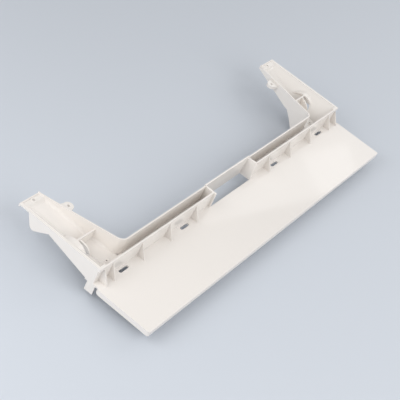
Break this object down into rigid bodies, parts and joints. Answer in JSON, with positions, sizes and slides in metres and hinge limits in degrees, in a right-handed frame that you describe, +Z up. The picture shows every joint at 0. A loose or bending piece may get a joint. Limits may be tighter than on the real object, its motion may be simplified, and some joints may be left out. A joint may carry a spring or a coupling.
{
  "type": "moulded trough housing",
  "caption": "Moulded plastic housing: a flat skirted panel with a ribbed trough along its back edge, a central window and a tapering hollow arm at each end.",
  "frame": {"origin": "centre of the overall box, on the plane of the feet", "axes": "+X along the trough, +Y from the panel towards the arm tips, +Z up"},
  "size_m": [0.6, 0.2152, 0.0487],
  "materials": {
    "housing_plastic": "satin"
  },
  "bodies": {
    "root": {"moulded_housing": "housing_plastic"}
  },
  "joints": []
}
